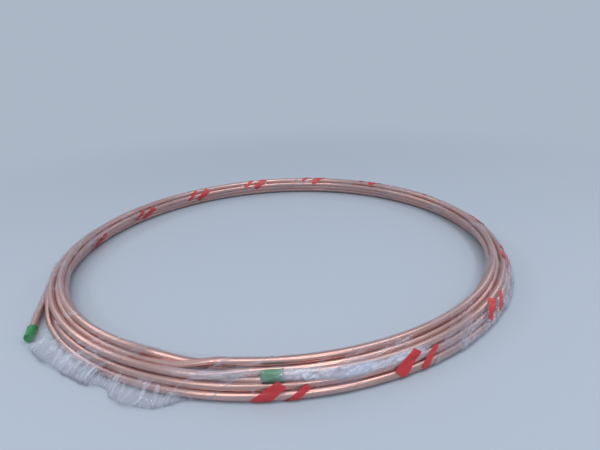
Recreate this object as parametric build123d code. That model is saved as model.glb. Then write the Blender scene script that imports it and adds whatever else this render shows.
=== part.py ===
from build123d import *
import os
from itertools import combinations
from math import cos, radians, sin

# Copper tube coil, wrapped in clear film, lying flat. Millimetres, +Z up.
# The origin is on the floor, on the axis of the coil. Angles are seen from above, from +X towards +Y.

# Driving dimensions

coil_outer_diameter = 510.0    # over the copper
tube_outer_diameter = 6.35
tube_wall = 0.76
turn_gap = 0.1                 # between the tubes of one row

# The rows of the bundle from the floor up: (half turns in from the outside, turns in the row)
rows = ((0, 3), (1, 3), (2, 3), (5, 1))

first_turn = (0, 0)            # row and place of the turn that the tail leaves
second_turn = (1, 0)           # that it goes on into
first_turn_end_angle = 217.0   # where it starts to climb there
last_turn = (2, 0)             # row and place of the turn that ends at the front
turn_before_last = (2, 1)      # that it comes out of
last_turn_start_angle = 258.0  # where it is in place
crossing_arc = 10.0            # degrees that a crossing takes
lift_off_angle = 286.8         # where its free end leaves the bundle, to go round by a few wide bends
end_bends = 3
end_bend_angle = 5.0           # what each bend turns by, seen from above
end_bend_radius = 120.0
end_lift = 2.3                 # how far the end stands off upwards after the last bend
end_swing = 1.5                # and outwards
straight_end = 24.0            # from the last bend's corner to the tip

tail_angle = 197.0             # where the first turn leaves the bundle in a straight line
tail_length = 100.0
tail_rise = 1.3

bore_depth = 40.0              # the free ends are hollow this far

cap_wall = 0.9
cap_sleeve_length = 15.0       # over the tube
cap_end_wall = 1.0
cap_clearance = 0.1            # around the tube
cap_end_gap = 0.3              # between the tube's end and the cap's bottom

film_thickness = 0.5
film_clearance = 0.3

# Worked out from them

tube_radius = tube_outer_diameter / 2
bore_radius = tube_radius - tube_wall
turn_pitch = tube_outer_diameter + turn_gap
row_rise = turn_pitch * cos(radians(30))
outer_place = coil_outer_diameter / 2 - tube_radius
first_row_height = film_thickness + film_clearance + tube_radius
cap_radius = tube_radius + cap_clearance + cap_wall


def place_centre(row, place):
    """Radius and height of the middle of the tube in one place of the bundle."""
    half_turns_in, _ = rows[row]
    return outer_place - (half_turns_in / 2 + place) * turn_pitch, first_row_height + row * row_rise


places = [(row, place) for row, (_, turns) in enumerate(rows) for place in range(turns)]


def bundle_section(spots):
    """The tubes' circles, with the gaps closed between every three that touch one another."""
    points = [place_centre(*spot) for spot in spots]
    reach = turn_pitch * 1.01
    section = Sketch() + [Pos(*point) * Circle(tube_radius) for point in points]
    for three in combinations(points, 3):
        if all((Vector(*a) - Vector(*b)).length < reach for a, b in combinations(three, 2)):
            section += make_face(Polyline(*three, close=True))
    return Plane.XZ * section


def at(angle, radius, height):
    """A point given by its angle and distance from the axis and its height."""
    return Vector(radius * cos(radians(angle)), radius * sin(radians(angle)), height)


def along(angle):
    """The direction in which the angle grows."""
    return Vector(-sin(radians(angle)), cos(radians(angle)), 0)


def rod(path, radius):
    """A round rod along a path."""
    return sweep(Plane(origin=path @ 0, z_dir=path % 0) * Circle(radius), path=path)


def crossing(angle, turn, next_turn, sense):
    """Two arcs from one place at an angle into another; sense is 1 the way angles grow, or else -1."""
    radius, height = place_centre(*turn)
    next_radius, next_height = place_centre(*next_turn)
    start = at(angle, radius, height)
    middle = at(angle + sense * crossing_arc / 2, (radius + next_radius) / 2, (height + next_height) / 2)
    end = at(angle + sense * crossing_arc, next_radius, next_height)
    first_arc = TangentArc(start, middle, tangent=along(angle) * sense)
    second_arc = TangentArc(middle, end, tangent=first_arc % 1)
    return rod(Wire([first_arc, second_arc]), tube_radius)


# Bundle: all the turns, but for the first one beside the tail and the last one where it hasn't begun

spans = (
    (lift_off_angle, tail_angle + 360, None),
    (tail_angle, first_turn_end_angle, first_turn),
    (first_turn_end_angle, last_turn_start_angle, None),
    (last_turn_start_angle, lift_off_angle, last_turn),
)
arcs = []
for start_angle, end_angle, left_out in spans:
    section = bundle_section([spot for spot in places if spot != left_out])
    arcs.append(Rot(0, 0, start_angle) * revolve(section, Axis.Z, end_angle - start_angle))
bundle = Part() + arcs

# Crossings: the last turn swings out from the one before it, and the first turn climbs into the second

bundle += crossing(last_turn_start_angle, last_turn, turn_before_last, 1)
bundle += crossing(first_turn_end_angle, first_turn, second_turn, -1)

# Free end of the last turn: it follows the coil round while it lifts off the row below

last_radius, last_height = place_centre(*last_turn)
corner_out = last_radius / cos(radians(end_bend_angle / 2))
end_points = [at(lift_off_angle, last_radius, last_height)]
for bend in range(end_bends):
    share = bend / (end_bends - 1)
    corner_angle = lift_off_angle - (bend + 0.5) * end_bend_angle
    end_points.append(at(corner_angle, corner_out + share * end_swing, last_height + share * end_lift))
last_heading = -along(lift_off_angle - end_bends * end_bend_angle)
last_tip = end_points[-1] + last_heading * straight_end
end_path = FilletPolyline(*end_points, last_tip, radius=end_bend_radius)

# Tail: the free end of the first turn, sprung out straight from the bottom row

first_radius, first_height = place_centre(*first_turn)
tail_start = at(tail_angle, first_radius, first_height)
first_heading = (along(tail_angle) * tail_length + Vector(0, 0, tail_rise)).normalized()
first_tip = tail_start + first_heading * tail_length
tail_path = Line(tail_start, first_tip)


def free_end(path, tip, heading):
    """A tube along a path, with the hollow that opens at its tip."""
    hollow = Plane(origin=tip, z_dir=-heading) * Pos(0, 0, bore_depth / 2) * Cylinder(bore_radius, bore_depth)
    return rod(path, tube_radius), hollow


last_end, last_hollow = free_end(end_path, last_tip, last_heading)
tail, tail_hollow = free_end(tail_path, first_tip, first_heading)
copper_tube_coil = bundle + last_end + tail - last_hollow - tail_hollow


# Caps: plastic sleeves closed at one end, pushed over the tube's two ends

def end_cap(tip, heading):
    """A cap over a tube that ends at the tip, pointing along the heading."""
    inside = cap_sleeve_length + cap_end_gap
    outside = inside + cap_end_wall
    mouth = Plane(origin=tip - heading * cap_sleeve_length, z_dir=heading)
    shell = Pos(0, 0, outside / 2) * Cylinder(cap_radius, outside)
    shell = fillet(shell.edges().group_by(Axis.Z)[-1], cap_end_wall * 0.8)
    shell -= Pos(0, 0, inside / 2) * Cylinder(tube_radius + cap_clearance, inside)
    return mouth * shell


# Wrap: one closed bag of film round the ring, drawn tight over the tail's cap

def film_outline(allowance):
    """The bag seen from above: a circle and the cap's end, joined by straight edges."""
    ring = Circle(coil_outer_diameter / 2 + allowance)
    cap_end = first_tip + first_heading * (cap_end_gap + cap_end_wall)
    nose = Pos(cap_end.X, cap_end.Y) * Circle(cap_radius + allowance)
    return make_hull((ring + nose).edges())


inner_rows = [place_centre(*spot) for spot in places]
eye_radius = min(radius for radius, _ in inner_rows) - tube_radius
top_height = max(height for _, height in inner_rows) + tube_radius


def film_block(allowance):
    """The room inside a wrap that stands off the copper by the allowance."""
    ring = film_outline(allowance) - Circle(eye_radius - allowance)
    floor = first_row_height - tube_radius - allowance
    return Pos(0, 0, floor) * extrude(ring, top_height + allowance - floor)


wrap_film = film_block(film_clearance + film_thickness) - film_block(film_clearance)

# One file for each piece

pieces = {
    "copper_tube_coil": copper_tube_coil,
    "end_cap_upper": end_cap(last_tip, last_heading),
    "end_cap_lower": end_cap(first_tip, first_heading),
    "wrap_film": wrap_film,
}
os.makedirs("parts", exist_ok=True)
for name, piece in pieces.items():
    piece.label = name
    export_step(piece, f"parts/{name}.step")
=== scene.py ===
import bmesh
import bpy
import numpy as np
from mathutils import Matrix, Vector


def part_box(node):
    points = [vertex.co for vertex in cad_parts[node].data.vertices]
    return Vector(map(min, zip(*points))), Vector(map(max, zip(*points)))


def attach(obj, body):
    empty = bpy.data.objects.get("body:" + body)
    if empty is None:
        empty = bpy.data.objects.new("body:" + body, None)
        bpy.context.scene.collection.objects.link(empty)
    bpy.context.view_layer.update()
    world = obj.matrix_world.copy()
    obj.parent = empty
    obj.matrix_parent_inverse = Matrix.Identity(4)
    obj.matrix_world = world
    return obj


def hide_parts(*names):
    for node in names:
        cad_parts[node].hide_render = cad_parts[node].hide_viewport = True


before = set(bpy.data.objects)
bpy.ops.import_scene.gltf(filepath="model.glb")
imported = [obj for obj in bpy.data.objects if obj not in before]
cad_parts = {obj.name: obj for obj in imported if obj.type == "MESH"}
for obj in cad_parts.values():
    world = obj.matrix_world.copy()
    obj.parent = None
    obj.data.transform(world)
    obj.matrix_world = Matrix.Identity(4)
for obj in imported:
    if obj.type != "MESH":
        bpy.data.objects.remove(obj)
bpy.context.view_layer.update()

# Copper coil
# Fifteen metres of soft drawn copper tube, wound flat into a ring whose turns lie in one another's
# grooves. Its first end springs out along the floor at the left, and its last one stops at the front.

coil_low, coil_high = (np.array(corner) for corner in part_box("copper_tube_coil"))
coil_radius = (coil_high[0] - coil_low[0]) / 2
tube_radius = 0.003175
bore_radius = 0.002415
turn_pitch = 0.00645
row_rise = turn_pitch * np.cos(np.radians(30))
first_row_height = coil_low[2] + tube_radius

# The places in the order in which the tube fills them: row from the floor up, half turns in from outside
winding_order = np.array([(0, 0), (1, 1), (0, 2), (1, 3), (0, 4), (1, 5), (2, 6), (3, 5), (2, 4), (2, 2)])

# The tail leaves the ring at an angle seen from above, from +X towards +Y, and rises to its tip. Its
# points stop just short of the ring's first one.
tail_angle = 197.0
tail_length = 0.100
tail_rise = 0.0013
tail_points = 24
tail_join = 0.003

# Degrees of travel from there on: to the first step to another place, from step to step, over one
# step, to the end, and from point to point
first_crossing = 345.0
turn_arc = 353.6
crossing_arc = 10.0
wound_arc = 3528.3
path_step = 1.9

# The last stretch lifts off the row below and swings out, and then stays level up to the tip
end_lift = 0.0023
end_swing = 0.0015
end_lift_arc = 14.0
end_level_arc = 6.0

# Waves a turn and size of the wander off true circles: of all turns together, and of each by itself in
# and out and up, which dies away near both ends
shared_waves = (2, 3, 5)
shared_wander = 0.0003
own_waves = (0.65, 1.67, 3.08)
own_wander = 0.00015
own_rise = 0.0001
calm_arc = 40.0


def ease(x):
    """0 up to 0 and 1 from 1, with a smooth step between."""
    x = np.clip(x, 0, 1)
    return x * x * (3 - 2 * x)


def slow_wave(angle, waves_a_turn, seed, amount):
    """A gentle wander along the tube: three sine waves, added.

    Whole numbers of waves move all turns alike.
    """
    shift = np.array([1.3, 4.1, 2.6]) * seed
    sizes = np.array([0.5, 0.3, 0.2]) * amount
    return (np.sin(np.radians(angle)[:, None] * waves_a_turn + shift) * sizes).sum(1)


def winding_path():
    """The tube's middle line: a clockwise circle that steps from place to place, one place a turn.

    The tail before it is a straight line, along the circle's tangent where the winding starts.
    """
    angle = np.arange(0, wound_arc, path_step)
    places = winding_order.astype(float)
    crossings = first_crossing + turn_arc * np.arange(len(places) - 1)
    share = ease((angle[:, None] - crossings) / crossing_arc + 0.5)
    row = places[0, 0] + share @ np.diff(places[:, 0])
    halves_in = places[0, 1] + share @ np.diff(places[:, 1])
    lifted = ease((angle - wound_arc + end_lift_arc + end_level_arc) / end_lift_arc)
    loose = ease(angle / calm_arc) * ease((wound_arc - angle) / calm_arc)
    radius = coil_radius - tube_radius - halves_in * turn_pitch / 2 + end_swing * lifted
    own = loose * slow_wave(angle, own_waves, 1.0, own_wander)
    radius += slow_wave(angle, shared_waves, 2.2, shared_wander) + own
    height = first_row_height + row * row_rise + end_lift * lifted
    height += loose * np.clip(row, 0, 1) * slow_wave(angle, own_waves, 2.0, own_rise)
    heading = np.radians(tail_angle - angle)
    ring = np.stack([radius * np.cos(heading), radius * np.sin(heading), height], 1)
    start = np.radians(tail_angle)
    along = np.array([-np.sin(start), np.cos(start), tail_rise / tail_length])
    along /= np.linalg.norm(along)
    tail = ring[0] + along * np.linspace(tail_length, tail_join, tail_points)[:, None]
    return np.concatenate([tail, ring])


def travelled_along(path):
    """Distance along a path from its first point to each point."""
    return np.concatenate([[0], np.cumsum(np.linalg.norm(np.diff(path, axis=0), axis=1))])


def carried(values, given_at, wanted_at):
    """Points or directions given at some distances along a path, at others between them."""
    return np.stack([np.interp(wanted_at, given_at, values[:, i]) for i in range(3)], 1)


def across_path(path):
    """Two directions across a path at each point: level to the right, and square to that and the path."""
    tangent = np.gradient(path, axis=0)
    tangent /= np.linalg.norm(tangent, axis=1)[:, None]
    side = np.cross(tangent, [0, 0, 1])
    side /= np.linalg.norm(side, axis=1)[:, None]
    return side, np.cross(side, tangent)


same_place = 1e-7


def grid_mesh(name, points, around=True, uv=None, masks=None):
    """A mesh from a grid of points, rows by columns. Where around is true, the last column joins the first.

    A row whose points are all the same place is a pole, and its points are made one.
    """
    rows, columns, _ = points.shape
    faces_across = columns if around else columns - 1
    row, column = np.meshgrid(np.arange(rows - 1), np.arange(faces_across), indexing="ij")
    following = (column + 1) % columns
    corners = np.stack([row * columns + column, (row + 1) * columns + column,
                        (row + 1) * columns + following, row * columns + following], -1).reshape(-1, 4)
    mesh = bpy.data.meshes.new(name)
    mesh.from_pydata(points.reshape(-1, 3), [], corners)
    mesh.polygons.foreach_set("use_smooth", np.ones(len(corners), bool))
    if uv is not None:
        corner_rows = np.stack([row, row + 1, row + 1, row], -1)
        corner_columns = np.stack([column, column, column + 1, column + 1], -1)
        own_map = mesh.uv_layers.new(name="along_around")
        own_map.data.foreach_set("uv", uv[corner_rows, corner_columns].reshape(-1))
    for mask_name, values in (masks or {}).items():
        mesh.attributes.new(mask_name, "FLOAT", "POINT").data.foreach_set("value", values.reshape(-1))
    if around:
        shape = bmesh.new()
        shape.from_mesh(mesh)
        bmesh.ops.remove_doubles(shape, verts=shape.verts, dist=same_place)
        shape.to_mesh(mesh)
        shape.free()
    piece = bpy.data.objects.new(name, mesh)
    bpy.context.collection.objects.link(piece)
    return piece


tube_sides = 20
bore_depth = 0.040
rim_bevel = 0.0002


def tube_mesh(name, path):
    """A tube along a path: circles across it, turned in at both ends and down its bore to a depth."""
    side, up = across_path(path)
    travelled = travelled_along(path)
    mouth = [(bore_depth, 0.0), (bore_depth, bore_radius), (0.0, bore_radius),
             (0.0, tube_radius - rim_bevel), (rim_bevel, tube_radius)]
    depth, width = np.array(mouth).T
    stations = np.concatenate([depth, travelled[1:-1], travelled[-1] - depth[::-1]])
    radii = np.concatenate([width, np.full(len(path) - 2, tube_radius), width[::-1]])
    turn = np.linspace(0, 2 * np.pi, tube_sides, endpoint=False)
    ring = (np.cos(turn)[:, None] * carried(side, travelled, stations)[:, None]
            + np.sin(turn)[:, None] * carried(up, travelled, stations)[:, None])
    points = carried(path, travelled, stations)[:, None] + ring * radii[:, None, None]
    once_round = np.linspace(0, 1, tube_sides + 1)
    return grid_mesh(name, points, uv=np.stack(np.broadcast_arrays(stations[:, None], once_round[None]), -1))


middle_line = winding_path()
coil = tube_mesh("copper_winding", middle_line)
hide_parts("copper_tube_coil")
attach(coil, "root")

shaded_copper = (0.75, 0.44, 0.37, 1)
bright_copper = (0.84, 0.525, 0.455, 1)
handled_copper = (0.58, 0.315, 0.27, 1)
copper = bpy.data.materials.new("drawn_copper")
copper.use_nodes = True
nodes, links = copper.node_tree.nodes, copper.node_tree.links
shader = nodes["Principled BSDF"]
shader.inputs["Metallic"].default_value = 1


def node(kind, **inputs):
    """A node of a kind in the material at hand, with its inputs set, or linked where given an output."""
    made = nodes.new("ShaderNode" + kind)
    for place, value in inputs.items():
        socket = made.inputs[int(place[1:])] if place[0] == "_" else made.inputs[place.replace("_", " ")]
        if isinstance(value, bpy.types.NodeSocket):
            links.new(value, socket)
        else:
            socket.default_value = value
    return made


def worked(operation, *values, clamp=False):
    """The output of a Math node on one, two or three values or outputs."""
    made = node("Math", **{f"_{k}": value for k, value in enumerate(values)})
    made.operation = operation
    made.use_clamp = clamp
    return made.outputs[0]


def noise(place, **settings):
    """The value of a noise at a place, about 1 unit from cloud to cloud."""
    return node("TexNoise", Vector=place, Scale=1.0, **settings).outputs[0]


def strip_map(scale):
    """The piece's own UV map, which runs along it in metres, stretched by a scale."""
    made = nodes.new("ShaderNodeUVMap")
    made.uv_map = "along_around"
    return node("Mapping", Vector=made.outputs["UV"], Scale=scale).outputs[0]


def blend_colours(share, low, high):
    """The output of a colour mix from low to high, each a colour or an output."""
    made = node("Mix", _0=share)
    made.data_type = "RGBA"
    for place, value in ((6, low), (7, high)):
        if isinstance(value, bpy.types.NodeSocket):
            links.new(value, made.inputs[place])
        else:
            made.inputs[place].default_value = value
    return made.outputs[2]


# Soft patches, for what handling leaves on the tube, its caps and its film
patches = bpy.data.node_groups.new("soft_patches", "ShaderNodeTree")
for name, kind in (("Place", "Vector"), ("Contrast", "Float"), ("Level", "Float")):
    patches.interface.new_socket(name, in_out="INPUT", socket_type="NodeSocket" + kind)
patches.interface.new_socket("Share", in_out="OUTPUT", socket_type="NodeSocketFloat")
material_nodes = nodes, links
nodes, links = patches.nodes, patches.links
given = nodes.new("NodeGroupInput").outputs
cloud = noise(given["Place"], Detail=5.0, Roughness=0.6)
links.new(worked("MULTIPLY_ADD", cloud, given["Contrast"], given["Level"], clamp=True),
          nodes.new("NodeGroupOutput").inputs["Share"])
nodes, links = material_nodes


def soft_patches(place, contrast, level):
    """The patches' share at a place: the cloud times a contrast, plus a level, kept from 0 to 1."""
    made = nodes.new("ShaderNodeGroup")
    made.node_tree = patches
    links.new(place, made.inputs["Place"])
    made.inputs["Contrast"].default_value = contrast
    made.inputs["Level"].default_value = level
    return made.outputs["Share"]


# Drawing leaves fine lines along the tube, and handling dulls it in patches
drawn_lines = noise(strip_map((9, 34, 1)), Detail=4.0, Roughness=0.6)
dulled = soft_patches(strip_map((14, 2.2, 1)), 2.6, -0.85)
drawn_colour = blend_colours(drawn_lines, shaded_copper, bright_copper)
links.new(blend_colours(dulled, drawn_colour, handled_copper), shader.inputs["Base Color"])
drawn_gloss = worked("MULTIPLY_ADD", drawn_lines, 0.12, 0.22)
links.new(worked("MULTIPLY_ADD", dulled, 0.09, drawn_gloss), shader.inputs["Roughness"])
bump = node("Bump", Strength=0.25, Distance=0.0002, Height=drawn_lines)
links.new(bump.outputs[0], shader.inputs["Normal"])
coil.data.materials.append(copper)

# End caps
# Soft green plastic sleeves, closed at one end, pushed over both ends of the tube to keep it clean
# and dry inside.

# Along the cap from its mouth, and its radius there, in millimetres: up the inside, over a bead at the
# mouth, down the outside and in over the closed end, which has a low rim and a moulding point
cap_section = [(15.3, 0), (15.3, 3.27), (6.8, 3.27), (0.35, 3.27), (0, 3.45), (0.05, 4.15), (0.3, 4.36),
               (0.8, 4.42), (1.3, 4.36), (1.7, 4.16), (2.3, 4.08), (5, 4.10), (8, 4.13), (11, 4.11),
               (13.8, 4.06), (15.2, 4.04), (15.7, 3.92), (16.1, 3.62), (16.3, 3.2), (16.3, 2.75),
               (16.05, 2.5), (16.0, 0.8), (16.1, 0.55), (16.3, 0.4), (16.3, 0)]
# How much of the tube it covers, its girth, and the sides of its round
cap_grip = 0.015
cap_girth = 0.026
cap_sides = 40


def cap_mesh(name, middle):
    """A cap over a tube's end: its section turned about the tube's middle line, given from the tip back."""
    heading = (middle[0] - middle[1]) / np.linalg.norm(middle[0] - middle[1])
    aside = np.cross(heading, [0, 0, 1])
    aside /= np.linalg.norm(aside)
    along, radius = np.array(cap_section).T / 1000
    turn = np.linspace(0, 2 * np.pi, cap_sides, endpoint=False)
    ring = np.cos(turn)[:, None] * np.cross(heading, aside) + np.sin(turn)[:, None] * aside
    centre = carried(middle, travelled_along(middle), cap_grip - along)
    centre += heading * np.maximum(along - cap_grip, 0)[:, None]
    points = centre[:, None] + ring * radius[:, None, None]
    travelled = np.cumsum(np.hypot(np.diff(along, prepend=along[0]), np.diff(radius, prepend=0)))
    around = np.linspace(0, cap_girth, cap_sides + 1)
    return grid_mesh(name, points, uv=np.stack(np.broadcast_arrays(travelled[:, None], around[None]), -1))


caps = [cap_mesh("lower_cap", middle_line), cap_mesh("upper_cap", middle_line[::-1])]

dark_green = (0.002, 0.190, 0.040, 1)
light_green = (0.005, 0.300, 0.065, 1)
plastic = bpy.data.materials.new("green_cap_plastic")
plastic.use_nodes = True
nodes, links = plastic.node_tree.nodes, plastic.node_tree.links
shader = nodes["Principled BSDF"]
scuffs = soft_patches(strip_map((900, 240, 1)), 2.2, -0.75)
stretched = soft_patches(strip_map((120, 160, 1)), 1.8, -0.5)
links.new(blend_colours(stretched, dark_green, light_green), shader.inputs["Base Color"])
links.new(worked("MULTIPLY_ADD", scuffs, 0.24, 0.24), shader.inputs["Roughness"])
bump = node("Bump", Strength=0.35, Distance=0.0001, Height=scuffs)
links.new(bump.outputs[0], shader.inputs["Normal"])
for cap, replaced in zip(caps, ("end_cap_lower", "end_cap_upper")):
    cap.data.materials.append(plastic)
    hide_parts(replaced)
    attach(cap, "root")

# Film
# Thin clear polythene strip, wound round the bundle from the eye to the outside and on along the ring,
# each wrap lapping over the one before. It is tight over the turns, and loose and bunched at the tail.

# How often it goes round the bundle, its width in steps from wrap to wrap, its faces round each wrap and
# across, and how far it stands off the tube, rises across its width and stays off the floor
film_wraps = 16
film_lap = 4 / 3
around_each_wrap = 72
across_strip = 80
film_stand_off = 0.00045
lap_step = 0.00022
off_floor = 0.0003

# How far the film swells out: in folds and creases where it is loose, in creases everywhere, and at
# the right side as a whole
fold_swell = 0.0021
crease_swell = 0.0006
fine_swell = 0.00010
side_swell = 0.0016

# The middle of the bundle's section, from which the film's distance is measured, and its girth
section_radius = coil_radius - 0.0135
section_height = coil_low[2] + 0.0105
girth = 0.088
ring_length = 2 * np.pi * section_radius / film_wraps

# Ring angles of the two tips, each with a margin and the arc of its cap, and of the start of the upper
# end's lift, and the radius of a cap and the film's slack over it
tip_angle = 218.7
tip_margin = 0.5
lower_cap_arc = 3.6
upper_tip_angle = 266.3
upper_tip_margin = 0.6
upper_cap_arc = 4.4
upper_lift_angle = 292.0
cap_radius = 0.004175
cap_slack = 0.0005

# The fold of film that lies on the floor beyond the tail: ring angle, reach from the coil's axis where
# the copper reaches 255, height, and thickness
fold_angle = [tip_angle, 222, 229, 236, 240, 243.5, 247, 251, 256]
fold_reach = [275.6, 274.5, 270, 267, 262.5, 260.0, 272, 268, 252]
copper_reach = 255
fold_height = [0.0050, 0.0036, 0.0026, 0.0022, 0.0020, 0.0022, 0.0022, 0.0020, 0.0022]
fold_size = 0.0006


def smooth_window(angle, start, end, edge):
    """1 between two angles in degrees and 0 outside them, with a smooth step as wide as the edge at each."""
    middle, half = (start + end) / 2, (end - start) / 2
    off = np.abs((angle - middle + 180) % 360 - 180)
    return ease((half - off) / edge + 0.5)


def section_circles(angle):
    """Radius, height and size of every circle that the film is drawn over, at each angle round the ring.

    They are the turns of the bundle, the tail or the fold of film that lies on the floor after it, and
    the end at the front with its cap. A circle that isn't at an angle is put inside the bundle.
    """
    places = winding_order.astype(float)
    turn_radius = coil_radius - tube_radius - places[:, 1] * turn_pitch / 2
    turn_height = first_row_height + places[:, 0] * row_rise
    radius = np.repeat(turn_radius[:, None], len(angle), 1)
    height = np.repeat(turn_height[:, None], len(angle), 1)
    size = np.full_like(radius, tube_radius)

    from_tail = np.radians((angle - tail_angle + 180) % 360 - 180)
    on_tail = (angle > tail_angle) & (angle < tip_angle + tip_margin)
    on_fold = (angle >= tip_angle + tip_margin) & (angle < fold_angle[-1])
    capped = on_tail & (angle > tip_angle - lower_cap_arc)
    tail_radius = (coil_radius - tube_radius) / np.cos(np.where(on_tail, from_tail, 0))
    fold_radius = np.interp(angle, fold_angle, np.array(fold_reach) / copper_reach * coil_radius)
    out_radius = np.where(on_tail, tail_radius, np.where(on_fold, fold_radius, section_radius))
    folded_height = np.where(on_fold, np.interp(angle, fold_angle, fold_height), section_height)
    out_height = np.where(on_tail, first_row_height + tail_rise * from_tail, folded_height)
    out_size = np.where(capped, cap_radius + cap_slack, np.where(on_tail, tube_radius, fold_size))

    on_end = (angle > upper_tip_angle - upper_tip_margin) & (angle < upper_lift_angle)
    end_capped = on_end & (angle < upper_tip_angle + upper_cap_arc)
    lift = ease((upper_lift_angle - angle) / end_lift_arc)
    end_radius = np.where(on_end, coil_radius - tube_radius - turn_pitch + end_swing * lift, section_radius)
    end_height = np.where(on_end, first_row_height + 2 * row_rise + end_lift * lift, section_height)
    end_size = np.where(end_capped, cap_radius + cap_slack, np.where(on_end, tube_radius, fold_size))
    return (np.concatenate([radius, out_radius[None], end_radius[None]]),
            np.concatenate([height, out_height[None], end_height[None]]),
            np.concatenate([size, out_size[None], end_size[None]]))


support_step = 4.0
least_cosine = 0.05


def taut_film(angle, turn):
    """Distance from the middle of the section to film drawn tight over the circles, for angles and turns.

    A tight film is the circles' common hull. Its support in a direction is the largest of the circles'
    own, and its distance at a turn is the least of support over the cosine between the two.
    """
    radius, height, size = section_circles(angle)
    toward = np.radians(np.arange(0, 360, support_step))
    out, up = np.cos(toward), np.sin(toward)
    support = ((radius - section_radius)[:, :, None] * out + (height - section_height)[:, :, None] * up
               + size[:, :, None]).max(0)
    cosine = np.cos(toward[None] - turn[:, None])
    reached = support[:, None] / np.maximum(cosine, least_cosine)
    return np.where(cosine > least_cosine, reached, np.inf).min(2)


def blurred(values, reach):
    """A table averaged with its neighbours round its first axis, that closes on itself."""
    weights = np.hanning(2 * reach + 3)[1:-1]
    weights /= weights.sum()
    return sum(w * np.roll(values, k - reach, 0) for k, w in enumerate(weights))


def widened(values, reach):
    """A table's largest values within a reach along its first axis, that closes on itself."""
    return np.max([np.roll(values, k, 0) for k in range(-reach, reach + 1)], 0)


def from_table(table, angle, turn):
    """Values between the points of a table over all angles and turns, both of which close on themselves."""
    rows, columns = table.shape
    row, column = angle / 360 * rows, turn / (2 * np.pi) * columns
    row_below, column_below = np.floor(row).astype(int), np.floor(column).astype(int)
    row_share, column_share = row - row_below, column - column_below
    a, b = row_below % rows, (row_below + 1) % rows
    c, d = column_below % columns, (column_below + 1) % columns
    low = table[a, c] * (1 - column_share) + table[a, d] * column_share
    high = table[b, c] * (1 - column_share) + table[b, d] * column_share
    return low * (1 - row_share) + high * row_share


def closed_wave(along, up):
    """Phase of a wave with so many crests a metre along the ring and up its girth, 1 from crest to crest.

    Both counts are rounded to whole ones, at least one, so that the strip's lapped layers fold alike.
    """
    crests_round = np.copysign(max(1, round(abs(along) * ring_length * film_wraps)), along)
    crests_up = np.copysign(max(1, round(abs(up) * girth)), up)
    return crests_round * ring_share + crests_up * wrap


def ridges(seed, waves):
    """Sharp creases: for each wave, its share times the square of 1 less the size of a bent sine.

    A wave is its direction in degrees up from along the ring, its length in metres and its share.
    """
    total = 0
    for k, (direction, length, share) in enumerate(waves):
        along, up = np.cos(np.radians(direction)) / length, np.sin(np.radians(direction)) / length
        broad = closed_wave(-up / 14.5, along / 14.5)
        short = closed_wave(along / 19.5 - up / 5.7, up / 19.5 + along / 5.7)
        bend = 0.35 * np.sin(2 * np.pi * broad + seed + 1.7 * k)
        bend = bend + 0.2 * np.sin(2 * np.pi * short + 2.9 * seed + k)
        sine = np.sin(np.pi * (closed_wave(along, up) + bend) + 0.8 * seed + k)
        total = total + share * (1 - np.abs(sine)) ** 2
    return total


# Tight film round the whole ring, which bridges three steps to each side of whatever stands out, and
# the same for the bare ring, as it is where no end is near
table_step = 0.5
turn_steps = 180
bridged_steps = 3
bare_angle = 90.0
angle_table = np.arange(0, 360, table_step)
turn_table = np.linspace(0, 2 * np.pi, turn_steps, endpoint=False)
taut_table = blurred(widened(taut_film(angle_table, turn_table), bridged_steps), bridged_steps)
bare_table = np.repeat(taut_film(np.array([bare_angle]), turn_table), len(angle_table), 0)

wrap = np.linspace(0, film_wraps, film_wraps * around_each_wrap + 1)[:, None]
across = np.linspace(0.5, -0.5, across_strip + 1)[None]
turn = 2 * np.pi * wrap + 0 * across
turn_degrees = np.degrees(turn) % 360
ring_share = (wrap + across * film_lap) / film_wraps
angle = (180 + 360 * ring_share) % 360
tight = from_table(taut_table, angle, turn) + film_stand_off
drawn_off = 0.0055
off_the_turns = ease((tight - film_stand_off - from_table(bare_table, angle, turn)) / drawn_off)

# Where the film hangs loose and bunches: at the tail, along the top at the front, at the right side, and
# less at the back
turned_out, turned_up = np.cos(turn), np.sin(turn)
bag = smooth_window(angle, 188, 258, 16) * ease(turned_out * 0.9 + 0.35)
band_height = 48 - 20 * ease((angle - 271) / 12)
over_third_row = ease(1.35 - np.abs(turn_degrees - band_height) / 24)
band = over_third_row * (smooth_window(angle, 272, 297, 5) + 0.38 * smooth_window(angle, 253, 270, 8))
outer_side = ease(1.3 - np.abs((np.degrees(turn) + 180) % 360 - 180) / 42)
right_side = smooth_window(angle, 303, 342, 16) * outer_side
behind = smooth_window(angle, 20, 180, 30) * 0.4
loose = np.clip(0.05 + bag + 0.55 * band + 0.9 * right_side + behind, 0, 1.15)

# There it swells out in folds and creases, less where it lies on the floor
folds = ridges(1.3, [(38, 0.0190, 0.5), (66, 0.0150, 0.35), (8, 0.0270, 0.4), (104, 0.0120, 0.25)])
creases = ridges(4.2, [(46, 0.0082, 0.5), (81, 0.0095, 0.4), (-24, 0.0073, 0.35)])
slow = 0.5 + 0.5 * np.sin(16 * np.pi * ring_share + 1.9 * np.sin(turn)) * np.sin(turn + 0.7)
at_floor_edge = bag * ease((turned_out - 0.90) / 0.08)
swell = loose * (fold_swell * folds * (0.4 + 0.8 * slow) + crease_swell * creases)
swell = swell * (1 - 0.7 * at_floor_edge) + fine_swell * creases
lap = lap_step * (0.5 - across)
distance = tight + swell + lap + side_swell * right_side * slow
film_radius = section_radius + distance * turned_out
film_height = np.maximum(section_height + distance * turned_up, off_floor + lap)
heading = np.radians(angle)
film_points = np.stack([film_radius * np.cos(heading), film_radius * np.sin(heading), film_height], -1)

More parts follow.
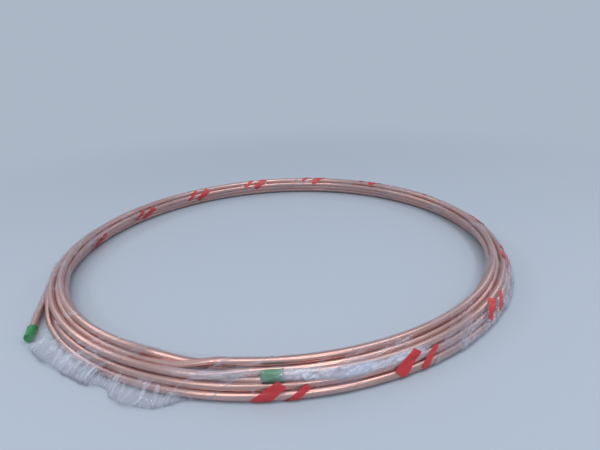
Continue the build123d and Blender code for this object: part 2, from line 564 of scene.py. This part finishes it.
# The strip laid flat: each wrap goes once up the girth and on along the ring, at a slant
strip_step = np.hypot(ring_length, girth)
strip_width = ring_length * film_lap * girth / strip_step
slanted = across * film_lap * ring_length * ring_length / strip_step
strip_uv = np.stack([wrap * strip_step + slanted, across * strip_width + 0 * wrap], -1)

# What the material needs to know of each point
edge = ease((np.abs(across) - 0.485) / 0.015) + 0 * wrap
past_the_cap = smooth_window(angle, 221.5, 262, 5)
over_cap = smooth_window(angle, 211.5, 221, 3) * ease(turned_out + 0.6)
over_upper_cap = smooth_window(angle, 265, 271.8, 1.5) * ease(1.5 - np.abs(turn_degrees - 48) / 40)
near_caps = np.maximum(over_cap, over_upper_cap)
beyond_the_turns = ease((film_radius - coil_radius + 0.003) / 0.006)
milk = off_the_turns * beyond_the_turns * (0.25 + 0.65 * past_the_cap) + 0.85 * right_side + 0.30 * behind
masks = {"loose": np.clip(milk * (1 - 0.7 * near_caps), 0, 1),
         "bunched": np.clip(band + 0.40 * right_side * beyond_the_turns, 0, 1),
         "printed": 1 - smooth_window(angle, 200, 262, 4),
         "crease": np.clip(folds * 0.7 + creases * 0.5, 0, 1.5),
         "lap_edge": edge,
         "over_cap": over_cap}
film = grid_mesh("film_wrap", film_points, around=False, uv=strip_uv, masks=masks)
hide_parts("wrap_film")
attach(film, "root")

clear_haze = (0.48, 0.51, 0.60, 1)
# Milky white of bunched film, also painted on folds and creases as glints
milk_and_glint_white = (0.70, 0.76, 0.91, 1)
print_red = (0.60, 0.008, 0.015, 1)
polythene = bpy.data.materials.new("clear_polythene")
polythene.use_nodes = True
nodes, links = polythene.node_tree.nodes, polythene.node_tree.links
shader = nodes["Principled BSDF"]
shader.inputs["IOR"].default_value = 1.51
shader.inputs["Specular IOR Level"].default_value = 1.0


def mask(name):
    """A point attribute of the mesh, as a value."""
    made = nodes.new("ShaderNodeAttribute")
    made.attribute_name = name
    return made.outputs["Fac"]


def off_middle(cloud):
    """How far a noise is from its middle value."""
    return worked("ABSOLUTE", worked("SUBTRACT", cloud, 0.5))


streaks = noise(strip_map((60, 260, 1)), Detail=5.0, Roughness=0.6, Distortion=0.8)
crumpled = noise(strip_map((95, 85, 1)), Detail=2.0, Roughness=0.45, Distortion=1.4)
flecks = noise(strip_map((190, 420, 1)), Detail=4.0, Roughness=0.7, Distortion=1.2)
facets = node("TexVoronoi", Vector=strip_map((190, 210, 1)), Scale=1.0).outputs["Distance"]
clouds = soft_patches(strip_map((24, 38, 1)), 2.6, -0.80)
# Rare crinkled patches on the tight film, whose crease lines get painted glints
rare = soft_patches(strip_map((31, 45, 1)), 9.0, -5.1)
# A fold line lies where the crumpled noise crosses its middle
fold_lines = worked("MULTIPLY_ADD", off_middle(crumpled), -15.0, 1.0, clamp=True)

# Plain red print: a wide and a narrow slanted bar well apart, at even distances along the strip
mark_spacing = 0.1365
mark_start = 0.5191 - mark_spacing / 2
mark_aside = 0.008
mark_slant = np.radians(38)
# Each bar's middle along the ring and up from the mark's, and its length and width
bars = [(-0.0085, 0.0008, 0.024, 0.0088), (0.0100, -0.0016, 0.021, 0.0046)]

own_map = nodes.new("ShaderNodeUVMap")
own_map.uv_map = "along_around"
parted = node("SeparateXYZ", Vector=own_map.outputs["UV"])
along_strip, across_it = parted.outputs[0], parted.outputs[1]
from_start = worked("SUBTRACT", along_strip, mark_start)
mark_u = worked("SUBTRACT", worked("FLOORED_MODULO", from_start, mark_spacing), mark_spacing / 2)
mark_v = worked("SUBTRACT", across_it, mark_aside)


def turned_by(x, y, cosine, sine):
    """Two outputs as seen on axes turned by an angle, given as its cosine and sine."""
    return (worked("MULTIPLY_ADD", x, cosine, worked("MULTIPLY", y, sine)),
            worked("MULTIPLY_ADD", y, cosine, worked("MULTIPLY", x, -sine)))


def up_the_girth(u, v):
    """Metres along the ring and up its girth, from metres along and across the slanted strip."""
    lead, rise = ring_length / strip_step, girth / strip_step
    return (worked("MULTIPLY_ADD", u, lead, worked("MULTIPLY", v, rise)),
            worked("MULTIPLY_ADD", u, rise, worked("MULTIPLY", v, -lead)))


mark_along, mark_up = up_the_girth(mark_u, mark_v)


def printed_bar(along, up, length, width):
    """1 inside a slanted bar, and 0 outside it."""
    x, y = worked("SUBTRACT", mark_along, along), worked("SUBTRACT", mark_up, up)
    lengthwise, aside = turned_by(x, y, float(np.cos(mark_slant)), float(np.sin(mark_slant)))
    within = worked("LESS_THAN", worked("ABSOLUTE", lengthwise), length / 2)
    return worked("MULTIPLY", within, worked("LESS_THAN", worked("ABSOLUTE", aside), width / 2))


wide_bar, narrow_bar = (printed_bar(*bar) for bar in bars)
worn = worked("MULTIPLY_ADD", streaks, 3.0, -0.15, clamp=True)
ink = worked("MULTIPLY", worked("MULTIPLY", worked("MAXIMUM", wide_bar, narrow_bar), worn), mask("printed"))

# Long thin folds run nearly along the ring where the strip was pulled tight, whitened partly as painted
# glints
pull = np.radians(16)
ring_along, ring_up = up_the_girth(along_strip, across_it)
with_pull, over_pull = turned_by(ring_along, ring_up, float(np.cos(pull)), float(np.sin(pull)))
pulled = node("CombineXYZ", X=worked("MULTIPLY", with_pull, 9.0), Y=worked("MULTIPLY", over_pull, 70.0))
pulled_noise = noise(pulled.outputs[0], Detail=1.0, Roughness=0.4, Distortion=0.3)
long_glinting_folds = worked("MULTIPLY_ADD", off_middle(pulled_noise), -34.0, 1.0, clamp=True)
long_glinting_folds = worked("MULTIPLY", long_glinting_folds, worked("MULTIPLY_ADD", clouds, 0.9, 0.1))

# Bunched film is milky in streaks, and loose film in clouds, flecks and creases; crease lines also carry
# painted glints
streak_u, streak_v = worked("MULTIPLY", ring_along, 48.0), worked("MULTIPLY", over_pull, 210.0)
streak_place = node("CombineXYZ", X=streak_u, Y=streak_v)
bunch_streaks = noise(streak_place.outputs[0], Detail=4.0, Roughness=0.6, Distortion=0.9)
streaked = worked("MULTIPLY_ADD", bunch_streaks, 2.2, -0.25, clamp=True)
bunched = worked("MULTIPLY", mask("bunched"), streaked)
milky = worked("MULTIPLY", mask("loose"), clouds)
in_the_loose = worked("MAXIMUM", mask("loose"), mask("bunched"))
crumple = worked("MAXIMUM", in_the_loose, worked("MULTIPLY", rare, 0.85))
creased_and_glinting = worked("MULTIPLY", crumple, fold_lines)
crest = worked("MULTIPLY", mask("crease"), worked("MULTIPLY_ADD", crumpled, 2.4, -0.8, clamp=True))
fleck = worked("MULTIPLY", worked("GREATER_THAN", flecks, 0.62), crumple)
rim = node("LayerWeight", Blend=0.25).outputs["Facing"]

# How much of the film shows: a little everywhere, more for each of these, and less over the lower cap
clouded = worked("MULTIPLY_ADD", crest, 0.08, 0.045)
for effect, amount in ((long_glinting_folds, 0.30), (milky, 0.22), (bunched, 0.66), (creased_and_glinting, 0.32), (fleck, 0.38),
                       (mask("lap_edge"), 0.32), (rim, 0.08)):
    clouded = worked("MULTIPLY_ADD", effect, amount, clouded)
thinned = worked("MULTIPLY_ADD", mask("over_cap"), -0.75, 1.0)
clouded = worked("MULTIPLY", clouded, thinned, clamp=True)
links.new(worked("MAXIMUM", clouded, worked("MULTIPLY", ink, 0.90)), shader.inputs["Alpha"])

# Folds and creases are whitened: partly the film's own creasing, partly painted glints
folds_white_and_glints = worked("MAXIMUM", creased_and_glinting, long_glinting_folds)
milk_and_painted_glints = worked("MAXIMUM", worked("MAXIMUM", milky, bunched), folds_white_and_glints, clamp=True)
haze = blend_colours(milk_and_painted_glints, clear_haze, milk_and_glint_white)
links.new(blend_colours(ink, haze, print_red), shader.inputs["Base Color"])
glossy = worked("MULTIPLY_ADD", milk_and_painted_glints, 0.12, 0.07)
links.new(worked("MULTIPLY_ADD", ink, 0.40, glossy, clamp=True), shader.inputs["Roughness"])
relief = worked("MULTIPLY_ADD", facets, worked("MULTIPLY", crumple, 0.9), worked("MULTIPLY", streaks, 0.35))
relief = worked("MULTIPLY_ADD", bunch_streaks, worked("MULTIPLY", mask("bunched"), 1.6), relief)
bump = node("Bump", Strength=0.7, Distance=0.0008, Height=relief)
links.new(bump.outputs[0], shader.inputs["Normal"])
film.data.materials.append(polythene)

# Floor and light
# A plain pale floor without an edge, a long soft lamp above the coil, one behind it at each side, and two
# small ones in front that make the film glint.

floor_reach = 3.0
floor_corners = 96
floor_colour = (0.46, 0.53, 0.62, 1)
backdrop_colour = (0.41, 0.475, 0.565, 1)
fade_start, fade_end = 0.30, 1.0

turn = np.linspace(0, 2 * np.pi, floor_corners, endpoint=False)
floor_ring = np.stack([np.cos(turn), np.sin(turn), 0 * turn], -1)
floor = grid_mesh("floor", np.array([0, floor_reach])[:, None, None] * floor_ring[None])

floor_paint = bpy.data.materials.new("pale_floor")
floor_paint.use_nodes = True
nodes, links = floor_paint.node_tree.nodes, floor_paint.node_tree.links
shader = nodes["Principled BSDF"]
shader.inputs["Base Color"].default_value = floor_colour
shader.inputs["Roughness"].default_value = 0.55


def shown_rays():
    """1 for the rays that show the background: the camera's own, and those by gloss or through glass."""
    ray = nodes.new("ShaderNodeLightPath").outputs
    seen = worked("MAXIMUM", ray["Is Camera Ray"], ray["Is Glossy Ray"])
    return worked("MAXIMUM", seen, ray["Is Transmission Ray"])


# The floor fades into the backdrop's own colour, so that no line shows where they meet
from_middle = node("VectorMath", _0=nodes.new("ShaderNodeTexCoord").outputs["Object"])
from_middle.operation = "LENGTH"
far = node("MapRange", Value=from_middle.outputs["Value"], From_Min=fade_start, From_Max=fade_end)
far.interpolation_type = "SMOOTHSTEP"
glow = node("Emission", Color=backdrop_colour, Strength=1.0)
faded = node("MixShader", _0=worked("MULTIPLY", far.outputs["Result"], shown_rays()), _1=shader.outputs[0],
             _2=glow.outputs[0])
links.new(faded.outputs[0], nodes["Material Output"].inputs["Surface"])
floor.data.materials.append(floor_paint)

world = bpy.data.worlds.new("studio")
bpy.context.scene.world = world
world.use_nodes = True
nodes, links = world.node_tree.nodes, world.node_tree.links
studio_light = nodes["Background"]
studio_light.inputs["Color"].default_value = (0.75, 0.78, 0.85, 1)
studio_light.inputs["Strength"].default_value = 0.55
backdrop = node("Background", Color=backdrop_colour, Strength=1.0)
shown = node("MixShader", _0=shown_rays(), _1=studio_light.outputs[0], _2=backdrop.outputs[0])
links.new(shown.outputs[0], nodes["World Output"].inputs[0])


def soft_lamp(name, place, aim, width, depth, watts):
    """A rectangular area lamp at a place, facing a point, with its width level."""
    lamp = bpy.data.lights.new(name, "AREA")
    lamp.shape = "RECTANGLE"
    lamp.size = width
    lamp.size_y = depth
    lamp.energy = watts
    holder = bpy.data.objects.new(name, lamp)
    bpy.context.collection.objects.link(holder)
    away = np.array(place) - np.array(aim)
    away = away / np.linalg.norm(away)
    side = np.cross([0, 0, 1], away)
    side /= np.linalg.norm(side)
    turned = np.stack([side, np.cross(away, side), away], 1)
    holder.matrix_world = Matrix.Translation(place) @ Matrix(turned.tolist()).to_4x4()


soft_lamp("top_lamp", (0.15, -0.45, 1.5), (0, -0.1, 0), 2.0, 0.35, 10)
soft_lamp("left_lamp", (-1.4, 0.6, 1.15), (0, 0, 0), 1.7, 0.4, 3.8)
soft_lamp("right_lamp", (1.5, 0.9, 1.05), (0, 0, 0), 1.0, 0.4, 2.0)
soft_lamp("glint_lamp", (0.5, -1.5, 1.5), (0, 0, 0), 0.12, 0.12, 5)
soft_lamp("second_glint_lamp", (-0.8, -1.2, 1.1), (0, 0, 0), 0.08, 0.08, 1.6)

# Camera
# It stands where the photograph was taken from: in front of the coil and a little above it, looking
# down by 21 degrees and leaning slightly.

sensor_width = 36
picture_width = 600
focal_pixels = 455
standing_place = (0.098 * coil_radius, -1.967 * coil_radius, 0.888 * coil_radius)
look_down, lean = np.radians(21.25), np.radians(-2.65)

camera_data = bpy.data.cameras.new("camera")
camera_data.sensor_width = sensor_width
camera_data.lens = sensor_width * focal_pixels / picture_width
camera = bpy.data.objects.new("camera", camera_data)
bpy.context.collection.objects.link(camera)
level = np.array([1, 0, 0])
upward = np.array([0, np.sin(look_down), np.cos(look_down)])
back = np.array([0, -np.cos(look_down), np.sin(look_down)])
right = np.cos(lean) * level + np.sin(lean) * upward
top = np.cos(lean) * upward - np.sin(lean) * level
turned = Matrix(np.stack([right, top, back], 1).tolist()).to_4x4()
camera.matrix_world = Matrix.Translation(standing_place) @ turned
bpy.context.scene.camera = camera
bpy.context.scene.view_settings.view_transform = "Standard"
